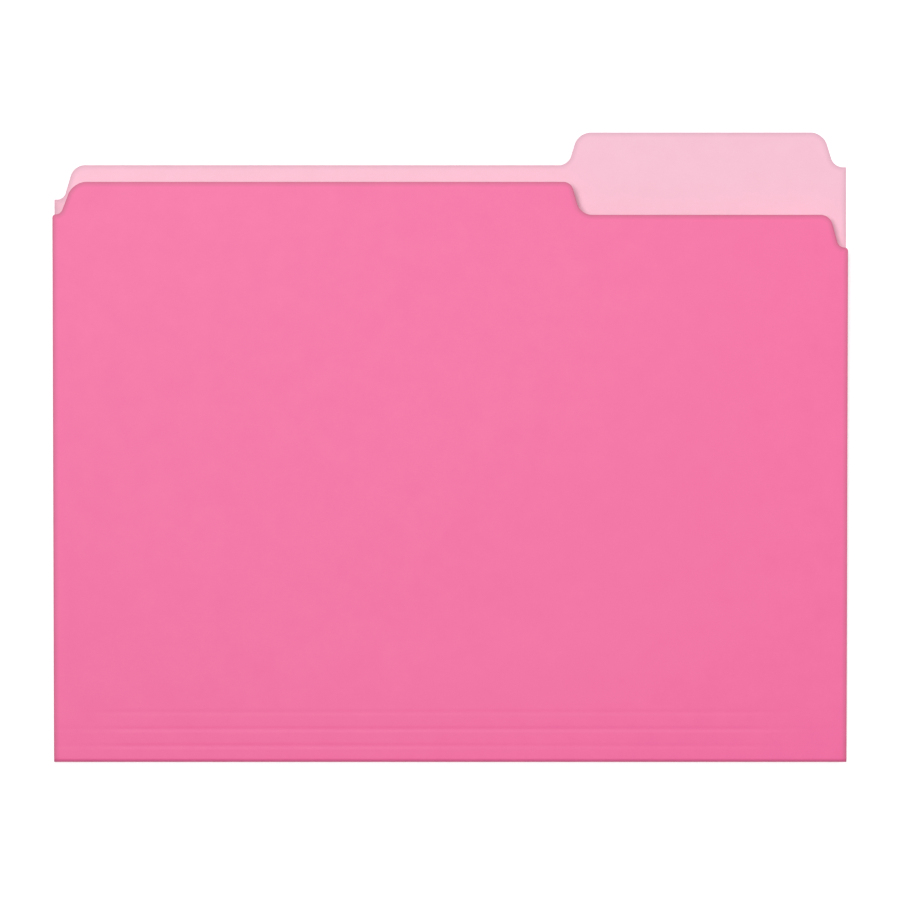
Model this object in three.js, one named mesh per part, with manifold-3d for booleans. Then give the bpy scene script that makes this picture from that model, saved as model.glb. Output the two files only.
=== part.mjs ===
// Letter-size file folder with a right-hand one-third-cut tab and three expansion scores.
// Two-tone card stock: a deep pink ply outside and a light pink ply inside, glued face to face.
// Millimetres. +X runs along the fold, +Y from the fold to the tab, +Z up from the table.
// The folder lies on its back leaf, and the origin is under the middle of its outline.

import * as THREE from 'three';
import { mergeVertices } from 'three/addons/utils/BufferGeometryUtils.js';
import Module from 'manifold-3d';

// The card stock
const CARD_THICKNESS = 0.28;
const GLUE_FILM = 0.01;

// The sheet, measured from the outside of the fold
const SHEET_WIDTH = 298.45;
const BACK_LEAF_DEPTH = 225;
const FRONT_LEAF_DEPTH = 218.4;

// The tab on the back leaf, measured half way up its sloping sides
const TAB_HEIGHT = 12.3;
const TAB_WIDTH = 96.2;
const TAB_INSET = 6.6;
const TAB_SIDE_SLOPE = 17;
const TAB_ROUND = 6.2;
const TAB_COVE = 4.6;
const TAB_SHOULDER_DROP = 0.8;

// The undercut in the front leaf, which leaves the tab in sight
const UNDERCUT_DEPTH = 12.35;
const UNDERCUT_SIDE_OFFSET = 0.9;
const UNDERCUT_SIDE_SLOPE = 18;
const UNDERCUT_ROUND = 4.7;
const UNDERCUT_COVE = 4.4;

// The corners cut away beside the leaves' top edges
const CORNER_DEPTH = 13;
const CORNER_INSET = 5.4;
const CORNER_SIDE_SLOPE = 16.5;
const CORNER_ROUND = 5.4;
const CORNER_COVE = 3.2;
const FRONT_CORNER_DEPTH = 12.2;
const FRONT_CORNER_SLOPE = 21;
const FRONT_CORNER_ROUND = 7.2;
const FRONT_CORNER_COVE = 2.6;

// The front leaf's right corner is cut from the undercut, and its foot is rounded into the leaf's side
const RIGHT_CORNER_DEPTH = 12.3;
const RIGHT_CORNER_INSET = 5.4;
const RIGHT_CORNER_SLOPE = 15;
const RIGHT_CORNER_COVE = 2;
const RIGHT_FOOT_ROUND = 2.2;

// The fold, and how far it springs open at rest
const FOLD_RADIUS = 1.5;
const FOLD_LEG = 1;
const REST_ANGLE = 2.5;

// The expansion scores, pressed into the outer face
const SCORE_COUNT = 3;
const FIRST_SCORE = 6.2;
const SCORE_PITCH = 6.35;
const SCORE_PRESS = 0.12;
const SCORE_REACH = 1.5;
const SCORE_STEPS = 5;

// The creases are open by this much between the panels that they join
const CREASE_GAP = 0.3;

// How far the swept card and the die run past each other before the cut
const CUT_MARGIN = 5;
const ARC_STEPS = 5;
const FOLD_STEPS = 10;

const DEEP_PINK = 0xf2779f;
const LIGHT_PINK = 0xf8c3d5;

const wasm = await Module();
wasm.setup();

const plyThickness = (CARD_THICKNESS - GLUE_FILM) / 2;
const halfWidth = SHEET_WIDTH / 2;
const restTilt = THREE.MathUtils.degToRad(REST_ANGLE);
const leafStart = FOLD_LEG + CREASE_GAP;
const scoreLines = Array.from(
  { length: SCORE_COUNT },
  (_, i) => FIRST_SCORE + i * SCORE_PITCH - FOLD_RADIUS,
);

// Each ply as the span of card thickness that it fills, from the outer face inwards
const PLIES = {
  outer: { from: 0, to: plyThickness, color: DEEP_PINK },
  inner: { from: plyThickness + GLUE_FILM, to: CARD_THICKNESS, color: LIGHT_PINK },
};

function slopeRun(degrees, height) {
  return Math.tan(THREE.MathUtils.degToRad(degrees)) * height;
}

// An outline through corners of { x, y, round }, going round anticlockwise.
// A rounded corner is an arc tangent to both of its sides, and shares a side with the next in proportion.
function cutOutline(corners) {
  const shape = new THREE.Shape();
  const count = corners.length;
  corners.forEach((corner, i) => {
    const here = new THREE.Vector2(corner.x, corner.y);
    if (!corner.round) {
      if (i === 0) shape.moveTo(here.x, here.y);
      else shape.lineTo(here.x, here.y);
      return;
    }
    const sides = [corners[(i + count - 1) % count], corners[(i + 1) % count]].map((next) => {
      const along = new THREE.Vector2(next.x, next.y).sub(here);
      const share = corner.round / (corner.round + (next.round ?? 0));
      return { room: along.length() * share, direction: along.normalize() };
    });
    const [before, after] = sides;
    const halfAngle = before.direction.angleTo(after.direction) / 2;
    const reach = Math.min(corner.round / Math.tan(halfAngle), before.room, after.room);
    const radius = reach * Math.tan(halfAngle);
    const centre = before.direction.clone().add(after.direction).normalize();
    centre.multiplyScalar(radius / Math.sin(halfAngle)).add(here);
    const start = before.direction.clone().multiplyScalar(reach).add(here).sub(centre);
    const end = after.direction.clone().multiplyScalar(reach).add(here).sub(centre);
    const clockwise = before.direction.cross(after.direction) > 0;
    shape.absarc(centre.x, centre.y, radius, start.angle(), end.angle(), clockwise);
  });
  return shape;
}

// The back leaf's cut: straight sides, the tab at the right, and a cut corner at the left.
// y is measured from the fold's axis.
function backOutline() {
  const top = BACK_LEAF_DEPTH - FOLD_RADIUS;
  const tabTop = top + TAB_HEIGHT;
  const rightShoulder = top - TAB_SHOULDER_DROP;
  const leftShoulder = top - CORNER_DEPTH;
  const tabRight = halfWidth - TAB_INSET;
  const tabLeft = tabRight - TAB_WIDTH;
  const rightRun = slopeRun(TAB_SIDE_SLOPE, tabTop - rightShoulder) / 2;
  const leftRun = slopeRun(TAB_SIDE_SLOPE, TAB_HEIGHT) / 2;
  const cornerMiddle = -halfWidth + CORNER_INSET;
  const cornerRun = slopeRun(CORNER_SIDE_SLOPE, CORNER_DEPTH) / 2;
  return cutOutline([
    { x: -halfWidth, y: -FOLD_RADIUS - CUT_MARGIN },
    { x: halfWidth, y: -FOLD_RADIUS - CUT_MARGIN },
    { x: halfWidth, y: rightShoulder },
    { x: tabRight + rightRun, y: rightShoulder, round: TAB_COVE },
    { x: tabRight - rightRun, y: tabTop, round: TAB_ROUND },
    { x: tabLeft + leftRun, y: tabTop, round: TAB_ROUND },
    { x: tabLeft - leftRun, y: top, round: TAB_COVE },
    { x: cornerMiddle + cornerRun, y: top, round: CORNER_ROUND },
    { x: cornerMiddle - cornerRun, y: leftShoulder, round: CORNER_COVE },
    { x: -halfWidth, y: leftShoulder },
  ]);
}

// The front leaf's cut, as it lies over the back leaf: the undercut below the tab, and both corners cut.
function frontOutline() {
  const top = FRONT_LEAF_DEPTH - FOLD_RADIUS;
  const undercut = top - UNDERCUT_DEPTH;
  const rightShoulder = undercut - RIGHT_CORNER_DEPTH;
  const leftShoulder = top - FRONT_CORNER_DEPTH;
  const rightMiddle = halfWidth - RIGHT_CORNER_INSET;
  const rightRun = slopeRun(RIGHT_CORNER_SLOPE, RIGHT_CORNER_DEPTH) / 2;
  const stepMiddle = halfWidth - TAB_INSET - TAB_WIDTH + UNDERCUT_SIDE_OFFSET;
  const stepRun = slopeRun(UNDERCUT_SIDE_SLOPE, UNDERCUT_DEPTH) / 2;
  const leftMiddle = -halfWidth + CORNER_INSET;
  const leftRun = slopeRun(FRONT_CORNER_SLOPE, FRONT_CORNER_DEPTH) / 2;
  return cutOutline([
    { x: -halfWidth, y: -FOLD_RADIUS - CUT_MARGIN },
    { x: halfWidth, y: -FOLD_RADIUS - CUT_MARGIN },
    { x: halfWidth, y: rightShoulder, round: RIGHT_FOOT_ROUND },
    { x: rightMiddle + rightRun, y: rightShoulder, round: RIGHT_CORNER_COVE },
    { x: rightMiddle - rightRun, y: undercut, round: CORNER_ROUND },
    { x: stepMiddle + stepRun, y: undercut, round: UNDERCUT_COVE },
    { x: stepMiddle - stepRun, y: top, round: UNDERCUT_ROUND },
    { x: leftMiddle + leftRun, y: top, round: FRONT_CORNER_ROUND },
    { x: leftMiddle - leftRun, y: leftShoulder, round: FRONT_CORNER_COVE },
    { x: -halfWidth, y: leftShoulder },
  ]);
}

function solidFrom(geometry) {
  geometry.deleteAttribute('normal');
  geometry.deleteAttribute('uv');
  const merged = mergeVertices(geometry, 1e-5);
  return new wasm.Manifold(
    new wasm.Mesh({
      numProp: 3,
      vertProperties: merged.getAttribute('position').array,
      triVerts: new Uint32Array(merged.index.array),
    }),
  );
}

// A section drawn in the Y-Z plane and swept along the fold, past both ends of the die
function sweptSection(section) {
  const depth = SHEET_WIDTH + 2 * CUT_MARGIN;
  const geometry = new THREE.ExtrudeGeometry(section, {
    depth,
    bevelEnabled: false,
    curveSegments: FOLD_STEPS,
  });
  geometry.translate(0, 0, -depth / 2);
  const alongFold = new THREE.Matrix4().makeBasis(
    new THREE.Vector3(0, 1, 0),
    new THREE.Vector3(0, 0, 1),
    new THREE.Vector3(1, 0, 0),
  );
  return solidFrom(geometry.applyMatrix4(alongFold));
}

// The die: an outline standing as a prism through the card, above and below it
function cuttingDie(outline) {
  const reach = FOLD_RADIUS + FOLD_LEG + CUT_MARGIN;
  const geometry = new THREE.ExtrudeGeometry(outline, {
    depth: 2 * reach,
    bevelEnabled: false,
    curveSegments: ARC_STEPS,
  });
  geometry.translate(0, 0, -reach);
  return solidFrom(geometry);
}

// How far a score presses the card inwards at a distance y from the fold's axis
function scoreDip(y) {
  const nearest = Math.min(...scoreLines.map((line) => Math.abs(y - line)));
  if (nearest >= SCORE_REACH) return 0;
  return (SCORE_PRESS * (1 + Math.cos((Math.PI * nearest) / SCORE_REACH))) / 2;
}

// The stations along a panel from start to end, close together where a score bends the card
function panelStations(start, end) {
  const bends = scoreLines.flatMap((line) =>
    Array.from({ length: 2 * SCORE_STEPS + 1 }, (_, i) => line + SCORE_REACH * (i / SCORE_STEPS - 1)),
  );
  return [start, ...bends.filter((y) => y > start && y < end), end];
}

// One ply of a flat panel. side is +1 where the outer face looks up, and -1 where it looks down.
function panelSection(ply, stations, side, dip) {
  const height = (y, inset) => side * (FOLD_RADIUS - dip(y) - inset);
  const outer = stations.map((y) => new THREE.Vector2(y, height(y, ply.from)));
  const inner = stations.map((y) => new THREE.Vector2(y, height(y, ply.to)));
  return new THREE.Shape([...outer, ...inner.reverse()]);
}

// One ply of the fold: a leg on the back leaf's plane, the round bend, and a leg on the front leaf's plane
function foldSection(ply) {
  const outerRadius = FOLD_RADIUS - ply.from;
  const innerRadius = FOLD_RADIUS - ply.to;
  const backAngle = -Math.PI / 2;
  const frontAngle = Math.PI / 2 + restTilt;
  const frontLegEnd = (radius) =>
    new THREE.Vector2(FOLD_LEG, radius).rotateAround(new THREE.Vector2(), restTilt);
  const outerEnd = frontLegEnd(outerRadius);
  const innerEnd = frontLegEnd(innerRadius);
  const section = new THREE.Shape();
  section.moveTo(FOLD_LEG, -outerRadius);
  section.absarc(0, 0, outerRadius, backAngle, frontAngle, true);
  section.lineTo(outerEnd.x, outerEnd.y);
  section.lineTo(innerEnd.x, innerEnd.y);
  section.absarc(0, 0, innerRadius, frontAngle, backAngle, false);
  section.lineTo(FOLD_LEG, -innerRadius);
  return section;
}

function dieCut(section, die) {
  const cut = die.intersect(sweptSection(section)).getMesh();
  const geometry = new THREE.BufferGeometry();
  geometry.setAttribute('position', new THREE.BufferAttribute(cut.vertProperties, 3));
  geometry.setIndex(new THREE.BufferAttribute(cut.triVerts, 1));
  const faceted = geometry.toNonIndexed();
  faceted.computeVertexNormals();
  return faceted;
}

// Both plies of one panel, each its own mesh
function addPanel(group, name, die, sectionOf) {
  for (const [side, ply] of Object.entries(PLIES)) {
    const material = new THREE.MeshStandardMaterial({ color: ply.color, roughness: 0.85, metalness: 0 });
    const mesh = new THREE.Mesh(dieCut(sectionOf(ply), die), material);
    mesh.name = `${name}_${side}_ply`;
    group.add(mesh);
  }
}

const backDie = cuttingDie(backOutline());
const frontDie = cuttingDie(frontOutline());

const folder = new THREE.Group();
folder.position.set(0, FOLD_RADIUS - (BACK_LEAF_DEPTH + TAB_HEIGHT) / 2, FOLD_RADIUS);

const backStations = [leafStart, BACK_LEAF_DEPTH + TAB_HEIGHT];
addPanel(folder, 'back_leaf', backDie, (ply) => panelSection(ply, backStations, -1, () => 0));
addPanel(folder, 'main_fold', frontDie, foldSection);

// The front half turns about the fold's axis
const cover = new THREE.Group();
cover.rotation.x = restTilt;
folder.add(cover);

const creases = [leafStart - CREASE_GAP / 2, ...scoreLines];
scoreLines.forEach((line, i) => {
  const stations = panelStations(creases[i] + CREASE_GAP / 2, line - CREASE_GAP / 2);
  addPanel(cover, `expansion_strip_${i + 1}`, frontDie, (ply) => panelSection(ply, stations, 1, scoreDip));
});
const leafStations = panelStations(scoreLines.at(-1) + CREASE_GAP / 2, FRONT_LEAF_DEPTH);
addPanel(cover, 'front_leaf', frontDie, (ply) => panelSection(ply, leafStations, 1, scoreDip));

export default folder;
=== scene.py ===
"""A letter-size two-tone card file folder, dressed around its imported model.

The card is made as a converter makes it: one flat blank is die-cut, pressed with its scores, split
into its two plies and its panels, and folded. Sizes are in millimetres until a finished mesh is
scaled to metres.
"""

import logging
import math
from collections.abc import Iterator
from dataclasses import dataclass, field
from enum import Enum

import bmesh
import bpy
from mathutils import Euler, Matrix, Vector
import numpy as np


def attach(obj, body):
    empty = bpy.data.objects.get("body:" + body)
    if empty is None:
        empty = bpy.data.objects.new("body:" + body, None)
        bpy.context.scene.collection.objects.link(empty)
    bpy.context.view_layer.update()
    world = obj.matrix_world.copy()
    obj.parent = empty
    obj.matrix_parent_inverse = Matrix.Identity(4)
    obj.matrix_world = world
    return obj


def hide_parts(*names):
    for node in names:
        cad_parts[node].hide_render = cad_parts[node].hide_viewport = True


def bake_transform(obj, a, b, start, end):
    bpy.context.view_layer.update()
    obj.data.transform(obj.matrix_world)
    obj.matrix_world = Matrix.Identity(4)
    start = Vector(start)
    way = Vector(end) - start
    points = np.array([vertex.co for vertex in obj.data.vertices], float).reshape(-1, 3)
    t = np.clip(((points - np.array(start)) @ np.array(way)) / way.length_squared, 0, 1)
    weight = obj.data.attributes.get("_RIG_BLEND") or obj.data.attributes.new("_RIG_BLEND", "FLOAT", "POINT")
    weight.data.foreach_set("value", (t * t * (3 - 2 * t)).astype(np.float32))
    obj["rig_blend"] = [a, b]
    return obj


LOG = logging.getLogger("file_folder")
METRES = 0.001
# The vertex layer that tells the finishes how much shade to paint on the card, along the cuts and over the
# fold
PAINTED_SHADE_BAND = "painted_shade_band"
WHITE = "ffffff"

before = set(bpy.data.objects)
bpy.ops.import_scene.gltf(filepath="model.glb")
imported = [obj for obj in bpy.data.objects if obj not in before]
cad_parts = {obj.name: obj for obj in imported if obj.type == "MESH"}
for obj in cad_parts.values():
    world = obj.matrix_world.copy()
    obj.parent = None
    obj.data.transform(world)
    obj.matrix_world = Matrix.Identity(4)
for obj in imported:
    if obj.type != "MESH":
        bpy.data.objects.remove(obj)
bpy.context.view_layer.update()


class Ply(Enum):
    """The two plies of the card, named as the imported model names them."""

    OUTER = "outer_ply"
    INNER = "inner_ply"


class Slot(Enum):
    """The places for a finish on every ply."""

    FACE = 0
    CUT = 1


def linear(code: str) -> tuple[float, float, float, float]:
    """Turns an sRGB hex code into the linear colour that a shader reads, by the standard's own curve.

    Args:
        code: the colour, as in "f2779f".

    Returns:
        Red, green, blue and alpha.
    """
    channels = [int(code[i : i + 2], 16) / 255 for i in (0, 2, 4)]
    red, green, blue = (c / 12.92 if c <= 0.04045 else ((c + 0.055) / 1.055) ** 2.4 for c in channels)
    return red, green, blue, 1.0


def add_node(
    tree: bpy.types.NodeTree,
    kind: str,
    inputs: dict[str | int, object] | None = None,
    **options: object,
) -> bpy.types.Node:
    """Adds a node with its settings and its links.

    Args:
        tree: the node tree of the material or world.
        kind: the node's type, such as "ShaderNodeMix".
        inputs: a value or a linked socket for each input, by name or by number.
        **options: the node's own settings, by name.

    Returns:
        The node.
    """
    node = tree.nodes.new(kind)
    for name, value in options.items():
        setattr(node, name, value)
    for key, value in (inputs or {}).items():
        if isinstance(value, bpy.types.NodeSocket):
            tree.links.new(value, node.inputs[key])
        else:
            node.inputs[key].default_value = value
    return node


def smooth(value: float) -> float:
    """Eases a value from 0 to 1, flat at both ends, and holds it there outside."""
    held = min(max(value, 0.0), 1.0)
    return held * held * (3 - 2 * held)


@dataclass(frozen=True)
class CardStock:
    """11 pt folder stock, in two plies glued face to face."""

    thickness: float = 0.28
    glue_film: float = 0.01

    def span(self, ply: Ply) -> tuple[float, float]:
        """Finds the depth that a ply fills.

        Args:
            ply: which ply.

        Returns:
            Its two depths below the card's outer face, the shallower one first.
        """
        ply_thickness = (self.thickness - self.glue_film) / 2
        if ply is Ply.OUTER:
            return 0.0, ply_thickness
        return ply_thickness + self.glue_film, self.thickness


@dataclass(frozen=True)
class Score:
    """A pressed score, and how much of the full press its rule gives at the left and at the right."""

    # The distance from the fold's axis, up the front leaf
    line: float
    left: float = 1.0
    right: float = 1.0
    # The press changes over this width in the middle of the card
    change: float = 90.0

    def share(self, x: float) -> float:
        """Finds the share of the full press at a place along the score."""
        return self.left + (self.right - self.left) * smooth(x / self.change + 0.5)


@dataclass(frozen=True)
class Wave:
    """A slow wave in a leaf: its share of the swell, its lengths per radian and its phase."""

    share: float
    across: float
    along: float
    phase: float

    def height(self, x: float, y: float) -> float:
        """Finds the wave's height at a place, as a share of the swell."""
        return self.share * math.sin(x / self.across + y / self.along + self.phase)


@dataclass(frozen=True)
class Creasing:
    """The fold and the scores, and how they turn the flat blank into a folder."""

    # The fold's radius at the card's outer face and at its middle
    radius: float = 1.5
    mean_radius: float = 1.36
    # How far the closed folder stands open, in degrees
    rest_angle: float = 2.5
    fold_steps: int = 32
    # Flat card on either side of the bend that belongs to the fold
    fold_leg: float = 1.0
    # Shade painted over the fold, where the bend turns from the light, most in its middle half
    fold_shade: float = 0.5
    scores: tuple[Score, ...] = (Score(4.7, 1.0, 0.55), Score(11.05), Score(17.4, 0.55, 0.55))
    # The depth of a full press, and how far it reaches on either side of the line
    press: float = 0.054
    reach: float = 1.5
    score_steps: int = 8
    # The rule that presses the scores stops short of the card's sides, where the lines fade
    pressed_from: float = -123.0
    pressed_to: float = 113.0
    fade: float = 9.0
    # The share of the press that is left beyond the rule
    faint: float = 0.3
    # Card never lies quite flat: both leaves swell a little towards each other, away from the scores
    swell: float = 0.42
    swell_free: float = 45.0
    waves: tuple[Wave, ...] = (
        Wave(0.25, 36.0, 47.0, 0.3),
        Wave(0.25, 36.0, -47.0, 1.3),
        Wave(0.3, 24.0, 30.0, 2.1),
        Wave(0.2, -38.0, 19.0, -0.7),
    )
    # The front leaf springs up a little more steeply at the fold than further out
    bow: float = 0.5
    bow_reach: float = 22.0
    bow_end: float = 216.0

    @property
    def sweep(self) -> float:
        """The angle that the fold turns through, in radians."""
        return math.radians(180 - self.rest_angle)

    @property
    def fold_length(self) -> float:
        """The blank's length in the fold, at the middle of the card."""
        return self.sweep * self.mean_radius

    @property
    def tilt(self) -> Matrix:
        """The turn that lifts the front leaf from flat to its rest."""
        return Matrix.Rotation(math.radians(self.rest_angle), 3, "X")

    def dip(self, x: float, y: float) -> float:
        """Finds how far the scores press the card inwards.

        Args:
            x: the place along the fold.
            y: the distance from the fold's axis, up the front leaf.

        Returns:
            The depth of the groove there.
        """
        score = min(self.scores, key=lambda each: abs(y - each.line))
        nearest = abs(y - score.line)
        if nearest >= self.reach:
            return 0.0
        from_left = smooth((x - self.pressed_from) / self.fade + 1)
        from_right = smooth((self.pressed_to - x) / self.fade + 1)
        held = score.share(x) * (self.faint + (1 - self.faint) * from_left * from_right)
        return held * self.press * (1 + math.cos(math.pi * nearest / self.reach)) / 2

    def ripple(self, x: float, y: float) -> float:
        """Finds the leaf's slow swell, which is nothing at the fold.

        Args:
            x: the place along the fold.
            y: the distance from the fold's axis.

        Returns:
            How far the leaf stands out of its plane, never negative.
        """
        freedom = smooth((y - self.scores[-1].line - self.reach) / self.swell_free)
        height = sum(wave.height(x, y) for wave in self.waves)
        return self.swell * freedom * (1 + height) / 2

    def rise(self, y: float) -> float:
        """Finds how far the front leaf bows out of its plane at a distance from the fold's axis."""
        return self.bow * (1 - math.exp(-y / self.bow_reach)) * smooth(1 - y / self.bow_end)

    def fold_shading(self, along: float) -> float:
        """Finds the painted fold shade at a distance up the blank, from nothing to its full depth on the
        fold.
        """
        half_length = self.fold_length / 2
        from_middle = abs(along - half_length) / half_length
        return self.fold_shade * smooth(2 * (1 - from_middle))

    def place(self, x: float, along: float, depth: float) -> Vector:
        """Folds one point of the blank.

        Args:
            x: the place along the fold.
            along: the distance up the blank from the back leaf's end of the fold.
            depth: the depth below the card's outer face.

        Returns:
            The point on the folded card, from the fold's axis.
        """
        radius = self.radius - depth
        if along <= 0:
            return Vector((x, -along, self.ripple(x, -along) - radius))
        if along < self.fold_length:
            angle = along / self.fold_length * self.sweep
            return Vector((x, -radius * math.sin(angle), -radius * math.cos(angle)))
        y = along - self.fold_length
        height = radius + self.rise(y) - self.dip(x, y) - self.ripple(x, y)
        return self.tilt @ Vector((x, y, height))

    def stations(self) -> Iterator[float]:
        """Gives the places up the blank where the folds and scores need an edge across the card."""
        for step in range(self.fold_steps + 1):
            yield self.fold_length * step / self.fold_steps
        for score in self.scores:
            for step in range(-self.score_steps, self.score_steps + 1):
                yield self.fold_length + score.line + self.reach * step / self.score_steps


@dataclass(frozen=True)
class Corner:
    """A corner of the die's cut, with the radius that rounds it."""

    x: float
    along: float
    radius: float = 0.0

    @property
    def point(self) -> Vector:
        """The corner's place on the blank."""
        return Vector((self.x, self.along, 0.0))


@dataclass(frozen=True)
class CutCorner:
    """The corner cut away beside a leaf's top edge, with a sloping side."""

    depth: float = 13.0
    # How far in from the leaf's side the sloping side is, half way up
    inset: float = 5.4
    slope: float = 16.5
    round: float = 5.4
    cove: float = 3.2
    # The round at the leaf's own side, below the cut
    side_round: float = 0.0

    @property
    def run(self) -> float:
        """Half of the width that the sloping side takes."""
        return math.tan(math.radians(self.slope)) * self.depth / 2


@dataclass(frozen=True)
class Tab:
    """The one-third-cut tab at the right of the back leaf."""

    height: float = 12.3
    # The width and the inset from the leaf's side are taken half way up
    width: float = 96.2
    inset: float = 6.6
    slope: float = 17.0
    round: float = 6.2
    cove: float = 4.6
    # The shoulder at the tab's right is this much lower than the one at its left
    shoulder_drop: float = 0.8

    def run(self, rise: float) -> float:
        """Half of the width that a side takes as it climbs by rise."""
        return math.tan(math.radians(self.slope)) * rise / 2


@dataclass(frozen=True)
class Undercut:
    """The undercut in the front leaf, which leaves the tab in sight."""

    depth: float = 12.35
    # How far its side stands to the right of the tab's side, half way up
    side_offset: float = 0.6
    slope: float = 16.0
    round: float = 3.6
    cove: float = 5.6

    @property
    def run(self) -> float:
        """Half of the width that the undercut's side takes."""
        return math.tan(math.radians(self.slope)) * self.depth / 2


@dataclass
class Blank:
    """The flat die-cut sheet that the whole folder is folded from."""

    creasing: Creasing
    stock: CardStock
    width: float = 298.45
    back_depth: float = 225.0
    front_depth: float = 218.4
    tab: Tab = field(default_factory=Tab)
    undercut: Undercut = field(default_factory=Undercut)
    back_corner: CutCorner = field(default_factory=CutCorner)
    left_corner: CutCorner = field(
        default_factory=lambda: CutCorner(12.2, slope=21.0, round=7.2, cove=2.6, side_round=1.8)
    )
    right_corner: CutCorner = field(
        default_factory=lambda: CutCorner(12.3, 5.15, slope=15.5, round=4.4, cove=3.3, side_round=1.8)
    )
    arc_segments: int = 10
    # Shade painted beside every cut, where the rolled edge turns from the light: how far in from the cut,
    # and how dark there
    edge_shade_steps: tuple[tuple[float, float], ...] = (
        (0.25, 0.82),
        (0.5, 0.66),
        (0.9, 0.44),
        (1.3, 0.26),
        (1.7, 0.1),
        (2.1, 0.0),
    )
    # The die also rolls the card's edge over, within the first of these steps
    roll_drop: float = 0.03
    # Vertices nearer to each other than this are one, before a step could turn a short side over
    closed_up: float = 0.25
    grid: float = 6.0
    # Cuts that cross almost at a corner leave specks of edge behind, which are closed up
    speck: float = 0.01
    # A face whose normal rises less than this is a wall of the cut
    wall_rise: float = 0.5
    sheet: bmesh.types.BMesh | None = None

    def back_corners(self) -> list[Corner]:
        """Lists the corners of the back leaf's free edges, from left to right."""
        half = self.width / 2
        top = self.back_depth - self.creasing.radius
        tab_top = top + self.tab.height
        right_shoulder = top - self.tab.shoulder_drop
        left_shoulder = top - self.back_corner.depth
        tab_right = half - self.tab.inset
        tab_left = tab_right - self.tab.width
        right_run = self.tab.run(tab_top - right_shoulder)
        left_run = self.tab.run(self.tab.height)
        middle, run = self.back_corner.inset - half, self.back_corner.run
        return [
            Corner(-half, -left_shoulder),
            Corner(middle - run, -left_shoulder, self.back_corner.cove),
            Corner(middle + run, -top, self.back_corner.round),
            Corner(tab_left - left_run, -top, self.tab.cove),
            Corner(tab_left + left_run, -tab_top, self.tab.round),
            Corner(tab_right - right_run, -tab_top, self.tab.round),
            Corner(tab_right + right_run, -right_shoulder, self.tab.cove),
            Corner(half, -right_shoulder),
        ]

    def front_corners(self) -> list[Corner]:
        """Lists the corners of the front leaf's free edges, from right to left."""
        half = self.width / 2
        top = self.front_depth - self.creasing.radius + self.creasing.fold_length
        undercut = top - self.undercut.depth
        right_shoulder = undercut - self.right_corner.depth
        left_shoulder = top - self.left_corner.depth
        right_middle, right_run = half - self.right_corner.inset, self.right_corner.run
        step_middle = half - self.tab.inset - self.tab.width + self.undercut.side_offset
        step_run = self.undercut.run
        left_middle, left_run = self.left_corner.inset - half, self.left_corner.run
        return [
            Corner(half, right_shoulder, self.right_corner.side_round),
            Corner(right_middle + right_run, right_shoulder, self.right_corner.cove),
            Corner(right_middle - right_run, undercut, self.right_corner.round),
            Corner(step_middle + step_run, undercut, self.undercut.cove),
            Corner(step_middle - step_run, top, self.undercut.round),
            Corner(left_middle + left_run, top, self.left_corner.round),
            Corner(left_middle - left_run, left_shoulder, self.left_corner.cove),
            Corner(-half, left_shoulder, self.left_corner.side_round),
        ]

    @staticmethod
    def tangent_length(before: Corner, here: Corner, after: Corner) -> float:
        """Finds how far along its sides a corner's round starts.

        Args:
            before: the corner before it.
            here: the corner itself.
            after: the corner after it.

        Returns:
            The length, where a side is shared with the next round in proportion to the radii.
        """
        sides = [other.point - here.point for other in (before, after)]
        half_angle = sides[0].angle(sides[1]) / 2
        rooms = [
            side.length * here.radius / (here.radius + other.radius)
            for side, other in zip(sides, (before, after), strict=True)
        ]
        return min(here.radius / math.tan(half_angle), *rooms)

    def die_cut(self) -> None:
        """Cuts the blank: its outline, its rounds and the band beside the cut that carries painted shade and
        the rolled edge.
        """
        corners = self.back_corners() + self.front_corners()
        self.sheet = bmesh.new()
        band = self.sheet.verts.layers.float.new(PAINTED_SHADE_BAND)
        self.sheet.faces.new([self.sheet.verts.new(corner.point) for corner in corners])
        for i, corner in enumerate(corners):
            if not corner.radius:
                continue
            length = self.tangent_length(corners[i - 1], corner, corners[(i + 1) % len(corners)])
            vertex = min(self.sheet.verts, key=lambda v, at=corner.point: (v.co - at).length)
            bmesh.ops.bevel(
                self.sheet,
                geom=[vertex],
                offset=length,
                offset_type="OFFSET",
                affect="VERTICES",
                segments=self.arc_segments,
                profile=0.5,
                material=-1,
            )
        for vertex in self.sheet.verts:
            vertex[band] = 1.0
        reached = 0.0
        for width, tone in self.edge_shade_steps:
            middle = max(self.sheet.faces, key=lambda f: f.calc_area())
            bmesh.ops.inset_region(
                self.sheet,
                faces=[middle],
                thickness=width - reached,
                use_boundary=True,
                use_even_offset=True,
            )
            for vertex in middle.verts:
                vertex[band] = tone
            bmesh.ops.remove_doubles(self.sheet, verts=middle.verts[:], dist=self.closed_up)
            reached = width

    def slice(self, sheet: bmesh.types.BMesh, place: Vector, across: Vector, keep: bool = True) -> None:
        """Cuts a sheet by a plane.

        Args:
            sheet: the sheet to cut.
            place: a point on the plane.
            across: the plane's normal.
            keep: whether the sheet beyond the plane stays.
        """
        bmesh.ops.bisect_plane(
            sheet,
            geom=[*sheet.verts, *sheet.edges, *sheet.faces],
            dist=1e-5,
            plane_co=place,
            plane_no=across,
            clear_outer=not keep,
        )

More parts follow.
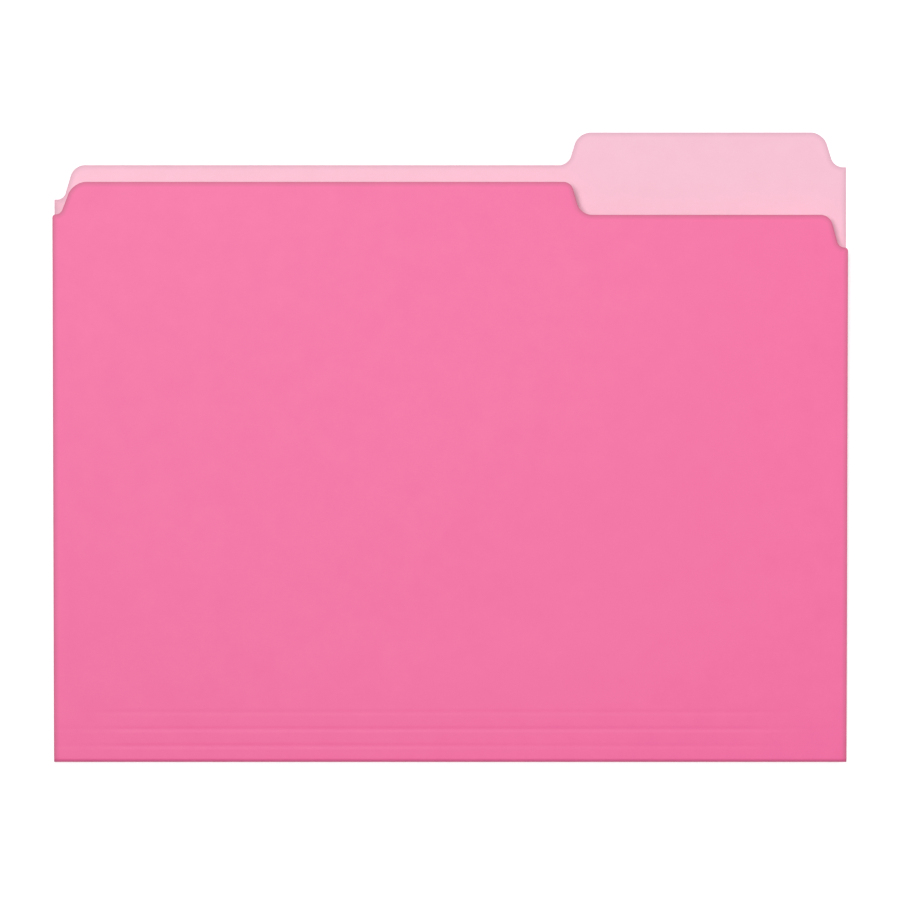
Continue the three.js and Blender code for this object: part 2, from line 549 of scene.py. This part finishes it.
    def lay_grid(self) -> None:
        """Divides the blank by a grid, closer at the fold and the scores, so that it can bend."""
        up, right = Vector((0, 1, 0)), Vector((1, 0, 0))
        creases = sorted(self.creasing.stations())
        back_end = -(self.back_depth + self.tab.height)
        front_end = self.creasing.fold_length + self.front_depth
        back_rows = int(-back_end / self.grid)
        front_rows = int((front_end - creases[-1]) / self.grid)
        rows = [creases[0] - self.grid * k for k in range(1, back_rows + 1)]
        rows += [creases[-1] + self.grid * k for k in range(1, front_rows + 1)]
        for row in sorted(rows + creases):
            self.slice(self.sheet, Vector((0, row, 0)), up)
        columns = round(self.width / self.grid)
        fades = [self.creasing.pressed_from, self.creasing.pressed_to]
        places = [(k / columns - 0.5) * self.width for k in range(1, columns)] + fades
        for place in sorted(places):
            self.slice(self.sheet, Vector((place, 0, 0)), right)
        bmesh.ops.remove_doubles(self.sheet, verts=self.sheet.verts[:], dist=self.speck)

    def ply(self, start: float, end: float, ply: Ply) -> bmesh.types.BMesh:
        """Takes one ply of one panel off the blank and folds it into its place.

        Args:
            start: where the panel starts up the blank.
            end: where it ends.
            ply: which ply.

        Returns:
            The closed mesh, in millimetres from the fold's axis.
        """
        shallow, deep = self.stock.span(ply)
        panel = self.sheet.copy()
        self.slice(panel, Vector((0, start, 0)), Vector((0, -1, 0)), keep=False)
        self.slice(panel, Vector((0, end, 0)), Vector((0, 1, 0)), keep=False)
        bmesh.ops.solidify(panel, geom=panel.faces[:], thickness=deep - shallow)
        bmesh.ops.recalc_face_normals(panel, faces=panel.faces[:])
        for face in panel.faces:
            wall = abs(face.normal.z) < self.wall_rise
            face.material_index = Slot.CUT.value if wall else Slot.FACE.value
            face.smooth = not wall
        for edge in panel.edges:
            edge.smooth = len({face.material_index for face in edge.link_faces}) == 1
        band = panel.verts.layers.float[PAINTED_SHADE_BAND]
        roll_tone = self.edge_shade_steps[0][1]
        for vertex in panel.verts:
            rolled = self.roll_drop * max(0.0, (vertex[band] - roll_tone) / (1 - roll_tone))
            on_top = vertex.co.z > (shallow - deep) / 2
            depth = shallow if on_top else deep
            if on_top and ply is Ply.OUTER:
                depth += rolled
            if not on_top and ply is Ply.INNER:
                depth -= rolled
            # The fold gets painted shade too, where the bend turns from the light
            vertex[band] = max(vertex[band], self.creasing.fold_shading(vertex.co.y))
            vertex.co = self.creasing.place(vertex.co.x, vertex.co.y, depth)
        return panel


@dataclass(frozen=True)
class CardFinish:
    """A coloured face of folder stock: dyed pulp, calendered and lightly sized.

    Long fibres give a faint cloudy mottle and a fine tooth. The surface is matt with a soft veil of
    light over it, and a darker band of painted shade lies along each cut and over the fold.
    """

    name: str
    colour: str
    cloud: str
    # The colour of the shade painted along the cuts and over the fold
    edge_shade: str
    roughness: float = 0.5
    ior: float = 1.5
    # Flocs of fibre in such card are 5 to 10 mm across
    floc: float = 10.0
    # Fibres are 0.03 mm wide and 1 to 2 mm long, which is too fine to show, so they are drawn 0.5 mm wide
    fibre_length: float = 1.8
    fibre_width: float = 0.5
    fibre_share: float = 0.35
    # The middle of the noise's range, which goes from the one colour to the other
    clouding: tuple[float, float] = (0.3, 0.7)
    # The painted shade is weaker where the pulp is denser, down to this share
    least_edge_shade: float = 0.8
    # Calendering leaves a tooth about a hundredth of a millimetre high
    tooth: float = 0.012
    relief: float = 0.5

    def build(self) -> bpy.types.Material:
        """Makes the material.

        Returns:
            A node material in object space, whose edge band follows the mesh's own attribute.
        """
        material = bpy.data.materials.new(self.name)
        material.use_nodes = True
        tree = material.node_tree
        tree.nodes.clear()
        place = add_node(tree, "ShaderNodeTexCoord").outputs["Object"]
        millimetres = add_node(
            tree, "ShaderNodeMapping", {"Vector": place, "Scale": (1000.0, 1000.0, 1000.0)}
        ).outputs["Vector"]
        flocs = add_node(
            tree,
            "ShaderNodeTexNoise",
            {"Vector": millimetres, "Scale": 1 / self.floc, "Detail": 5.0, "Roughness": 0.6},
        ).outputs["Fac"]
        grain = add_node(
            tree,
            "ShaderNodeMapping",
            {"Vector": place, "Scale": (1000 / self.fibre_length, 1000 / self.fibre_width, 1000.0)},
        ).outputs["Vector"]
        fibres = add_node(
            tree,
            "ShaderNodeTexNoise",
            {"Vector": grain, "Scale": 1.0, "Detail": 3.0, "Roughness": 0.65, "Distortion": 0.6},
        ).outputs["Fac"]
        mottle = add_node(
            tree, "ShaderNodeMix", {0: self.fibre_share, 2: flocs, 3: fibres}, data_type="FLOAT"
        ).outputs[0]
        low, high = self.clouding
        clouding = add_node(
            tree,
            "ShaderNodeMapRange",
            {"Value": mottle, "From Min": low, "From Max": high, "To Min": 0.0, "To Max": 1.0},
        ).outputs["Result"]
        dyed = add_node(
            tree,
            "ShaderNodeMix",
            {0: clouding, 6: linear(self.colour), 7: linear(self.cloud)},
            data_type="RGBA",
        ).outputs[2]
        # Shade painted along the cuts and over the fold, from the mesh's own attribute
        band = add_node(tree, "ShaderNodeAttribute", attribute_name=PAINTED_SHADE_BAND).outputs["Fac"]
        unevenness = add_node(
            tree,
            "ShaderNodeMapRange",
            {
                "Value": flocs,
                "From Min": low,
                "From Max": high,
                "To Min": self.least_edge_shade,
                "To Max": 1.0,
            },
        ).outputs["Result"]
        edge_shaded = add_node(
            tree, "ShaderNodeMath", {0: band, 1: unevenness}, operation="MULTIPLY"
        ).outputs["Value"]
        colour = add_node(
            tree,
            "ShaderNodeMix",
            {0: edge_shaded, 6: dyed, 7: linear(self.edge_shade)},
            data_type="RGBA",
        ).outputs[2]
        relief = add_node(
            tree,
            "ShaderNodeBump",
            {"Height": mottle, "Strength": self.relief, "Distance": self.tooth * METRES},
        ).outputs["Normal"]
        shader = add_node(
            tree,
            "ShaderNodeBsdfPrincipled",
            {"Base Color": colour, "Roughness": self.roughness, "IOR": self.ior, "Normal": relief},
        ).outputs["BSDF"]
        add_node(tree, "ShaderNodeOutputMaterial", {"Surface": shader})
        return material


@dataclass(frozen=True)
class CutFinish:
    """The sheared edge of the card: torn fibre ends, rougher and duller than the faces."""

    name: str
    colour: str
    torn: str
    roughness: float = 0.85
    ior: float = 1.5
    # Torn tufts along a die cut are about 0.3 mm apart
    tuft: float = 0.3
    tuft_height: float = 0.02
    relief: float = 0.6

    def build(self) -> bpy.types.Material:
        """Makes the material.

        Returns:
            A node material in object space.
        """
        material = bpy.data.materials.new(self.name)
        material.use_nodes = True
        tree = material.node_tree
        tree.nodes.clear()
        place = add_node(tree, "ShaderNodeTexCoord").outputs["Object"]
        tufts = add_node(
            tree, "ShaderNodeTexNoise", {"Vector": place, "Scale": 1000 / self.tuft, "Detail": 3.0}
        ).outputs["Fac"]
        colour = add_node(
            tree,
            "ShaderNodeMix",
            {0: tufts, 6: linear(self.colour), 7: linear(self.torn)},
            data_type="RGBA",
        ).outputs[2]
        relief = add_node(
            tree,
            "ShaderNodeBump",
            {"Height": tufts, "Strength": self.relief, "Distance": self.tuft_height * METRES},
        ).outputs["Normal"]
        shader = add_node(
            tree,
            "ShaderNodeBsdfPrincipled",
            {"Base Color": colour, "Roughness": self.roughness, "IOR": self.ior, "Normal": relief},
        ).outputs["BSDF"]
        add_node(tree, "ShaderNodeOutputMaterial", {"Surface": shader})
        return material


@dataclass
class Dress:
    """The finishes of both plies, made once and shared by every panel."""

    faces: dict[Ply, CardFinish]
    cuts: dict[Ply, CutFinish]
    materials: dict[Ply, list[bpy.types.Material]] = field(default_factory=dict)
    slots: dict[Ply, str] = field(
        default_factory=lambda: {Ply.OUTER: "outer_face", Ply.INNER: "inner_face"}
    )

    def build(self) -> None:
        """Makes the materials of both plies."""
        for ply in Ply:
            self.materials[ply] = [self.faces[ply].build(), self.cuts[ply].build()]

    def put_on(self, piece: bpy.types.Object, ply: Ply) -> None:
        """Gives a piece its ply's finishes.

        Args:
            piece: the finished mesh object.
            ply: which ply it is.
        """
        for material in self.materials[ply]:
            piece.data.materials.append(material)


@dataclass
class Panel:
    """One panel of the card, in two plies."""

    name: str
    start: float
    end: float
    axis: Vector

    def build(self, blank: Blank, dress: Dress) -> None:
        """Builds both plies, dresses them and joins them to their bodies.

        Args:
            blank: the flat sheet that the panel is taken from.
            dress: the finishes.
        """
        for ply in Ply:
            folded = blank.ply(self.start, self.end, ply)
            folded.transform(Matrix.Scale(METRES, 4) @ Matrix.Translation(self.axis))
            mesh = bpy.data.meshes.new(f"{self.name}_{ply.value}_card")
            folded.to_mesh(mesh)
            folded.free()
            piece = bpy.data.objects.new(mesh.name, mesh)
            bpy.context.scene.collection.objects.link(piece)
            dress.put_on(piece, ply)
            self.join(piece)
            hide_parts(f"{self.name}_{ply.value}")
            LOG.info("%s: %d faces", piece.name, len(mesh.polygons))

    def join(self, piece: bpy.types.Object) -> None:
        """Fixes a piece to the back leaf."""
        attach(piece, "back_leaf")


@dataclass
class FoldPanel(Panel):
    """The fold, which rolls between the back leaf and the gusset."""

    # The radius at the middle of the card
    bend: float

    def join(self, piece: bpy.types.Object) -> None:
        """Bends a piece about the fold's axis, from below it to above it."""
        reach = Vector((0, 0, self.bend))
        start, end = ((self.axis + way * reach) * METRES for way in (-1, 1))
        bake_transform(piece, "back_leaf", "gusset", start=start, end=end)


@dataclass
class StripPanel(Panel):
    """An expansion strip between two scores."""

    def join(self, piece: bpy.types.Object) -> None:
        """Fixes a piece to the gusset."""
        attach(piece, "gusset")


@dataclass
class TopStripPanel(Panel):
    """The last expansion strip, with the score that the front leaf bends back at."""

    creasing: Creasing
    # The card bends within this distance of the score
    bend: float = 0.9

    def join(self, piece: bpy.types.Object) -> None:
        """Bends a piece at the top score."""
        line, height = self.creasing.scores[-1].line, self.creasing.radius
        at = [self.creasing.tilt @ Vector((0, line + way * self.bend, height)) for way in (-1, 1)]
        start, end = ((self.axis + point) * METRES for point in at)
        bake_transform(piece, "gusset", "front_leaf", start=start, end=end)


@dataclass
class LeafPanel(Panel):
    """The front leaf above the top score."""

    def join(self, piece: bpy.types.Object) -> None:
        """Fixes a piece to the front leaf."""
        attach(piece, "front_leaf")


@dataclass
class FileFolder:
    """The whole folder: the blank, its panels and its finishes."""

    stock: CardStock = field(default_factory=CardStock)
    creasing: Creasing = field(default_factory=Creasing)

    def build(self) -> None:
        """Cuts, creases, folds and dresses the card."""
        blank = Blank(self.creasing, self.stock)
        blank.die_cut()
        blank.lay_grid()
        LOG.info("blank: %d faces", len(blank.sheet.faces))
        axis = Vector(
            (0, self.creasing.radius - (blank.back_depth + blank.tab.height) / 2, self.creasing.radius)
        )
        dress = Dress(
            faces={
                # The last colour of each face is the shade painted along the cuts and over the fold
                Ply.OUTER: CardFinish("deep_pink_sized_card", "f1659d", "ee5f9a", "c4557a"),
                Ply.INNER: CardFinish("light_pink_sized_card", "f0bacd", "eeb5c8", "d6a2b4"),
            },
            cuts={
                Ply.OUTER: CutFinish("deep_pink_cut_edge", "d9638d", "c85580"),
                Ply.INNER: CutFinish("light_pink_cut_edge", "e3a9bf", "d69ab1"),
            },
        )
        dress.build()
        fold_end, leg = self.creasing.fold_length, self.creasing.fold_leg
        lines = [fold_end + score.line for score in self.creasing.scores]
        leaf_start = lines[-1] + self.creasing.reach
        panels = [
            Panel("back_leaf", -blank.back_depth - blank.tab.height, -leg, axis),
            FoldPanel("main_fold", -leg, fold_end + leg, axis, self.creasing.mean_radius),
            StripPanel("expansion_strip_1", fold_end + leg, lines[0], axis),
            StripPanel("expansion_strip_2", lines[0], lines[1], axis),
            TopStripPanel("expansion_strip_3", lines[1], leaf_start, axis, self.creasing),
            LeafPanel("front_leaf", leaf_start, fold_end + blank.front_depth, axis),
        ]
        for panel in panels:
            panel.build(blank, dress)
        blank.sheet.free()


@dataclass(frozen=True)
class Softbox:
    """A square softbox that faces the folder: its place and side in metres, and its power in watts."""

    name: str
    place: tuple[float, float, float]
    side: float
    power: float

    def hang(self) -> None:
        """Hangs the light in its place."""
        lamp = bpy.data.lights.new(self.name, "AREA")
        lamp.shape = "SQUARE"
        lamp.size = self.side
        lamp.energy = self.power
        lamp.color = linear(WHITE)[:3]
        light = bpy.data.objects.new(self.name, lamp)
        light.location = self.place
        light.rotation_euler = (-Vector(self.place)).to_track_quat("-Z", "Y").to_euler()
        bpy.context.scene.collection.objects.link(light)


@dataclass
class Studio:
    """A plain pale floor, soft light and a camera straight above the folder, all in metres."""

    floor_size: float = 12.0
    floor_drop: float = 0.0001
    floor_colour: str = "c8c8c8"
    floor_roughness: float = 0.9
    floor_glow: float = 0.55
    tent_strength: float = 0.22
    softboxes: tuple[Softbox, ...] = (
        Softbox("key_softbox", (-0.27, 0.25, 2.4), 0.6, 36.8),
        Softbox("fill_softbox", (2.2, 0.7, 0.9), 1.0, 30.0),
    )
    camera_height: float = 2.0
    view_centre: tuple[float, float] = (-0.0001, -0.00106)
    view_width: float = 0.3395
    # The sensor's width is in millimetres, and the two distances are where the view starts and ends
    sensor_width: float = 36.0
    clip: tuple[float, float] = (0.05, 50.0)

    def lay_floor(self) -> None:
        """Lays a plain pale floor just under the card: an opal shooting table, lit softly from below."""
        ground = bmesh.new()
        bmesh.ops.create_grid(ground, x_segments=1, y_segments=1, size=self.floor_size / 2)
        bmesh.ops.translate(ground, verts=ground.verts[:], vec=Vector((0, 0, -self.floor_drop)))
        mesh = bpy.data.meshes.new("floor")
        ground.to_mesh(mesh)
        ground.free()
        floor = bpy.data.objects.new("floor", mesh)
        bpy.context.scene.collection.objects.link(floor)
        material = bpy.data.materials.new("opal_acrylic_table")
        material.use_nodes = True
        shader = material.node_tree.nodes["Principled BSDF"]
        shader.inputs["Base Color"].default_value = linear(self.floor_colour)
        shader.inputs["Roughness"].default_value = self.floor_roughness
        shader.inputs["Emission Color"].default_value = linear(WHITE)
        shader.inputs["Emission Strength"].default_value = self.floor_glow
        mesh.materials.append(material)

    def light(self) -> None:
        """Sets the soft light: a tent, a softbox beyond the camera at its upper left, and a low fill."""
        world = bpy.data.worlds.new("tent")
        bpy.context.scene.world = world
        world.use_nodes = True
        background = world.node_tree.nodes["Background"]
        background.inputs["Color"].default_value = linear(WHITE)
        background.inputs["Strength"].default_value = self.tent_strength
        for softbox in self.softboxes:
            softbox.hang()

    def set_camera(self) -> None:
        """Sets the camera straight above, with the tab's edge at the top of the picture."""
        lens = bpy.data.cameras.new("camera")
        lens.sensor_width = self.sensor_width
        lens.lens = self.sensor_width * self.camera_height / self.view_width
        lens.clip_start, lens.clip_end = self.clip
        camera = bpy.data.objects.new("camera", lens)
        camera.location = (*self.view_centre, self.camera_height)
        camera.rotation_euler = Euler((0.0, 0.0, 0.0))
        bpy.context.scene.collection.objects.link(camera)
        bpy.context.scene.camera = camera

    def build(self) -> None:
        """Sets up the floor, the lights, the camera and a plain colour rendering."""
        self.lay_floor()
        self.light()
        self.set_camera()
        bpy.context.scene.view_settings.view_transform = "Standard"


def main() -> None:
    """Builds the folder and its studio."""
    logging.basicConfig(level=logging.INFO, format="%(message)s")
    Studio().build()
    FileFolder().build()


if __name__ == "__main__":
    main()
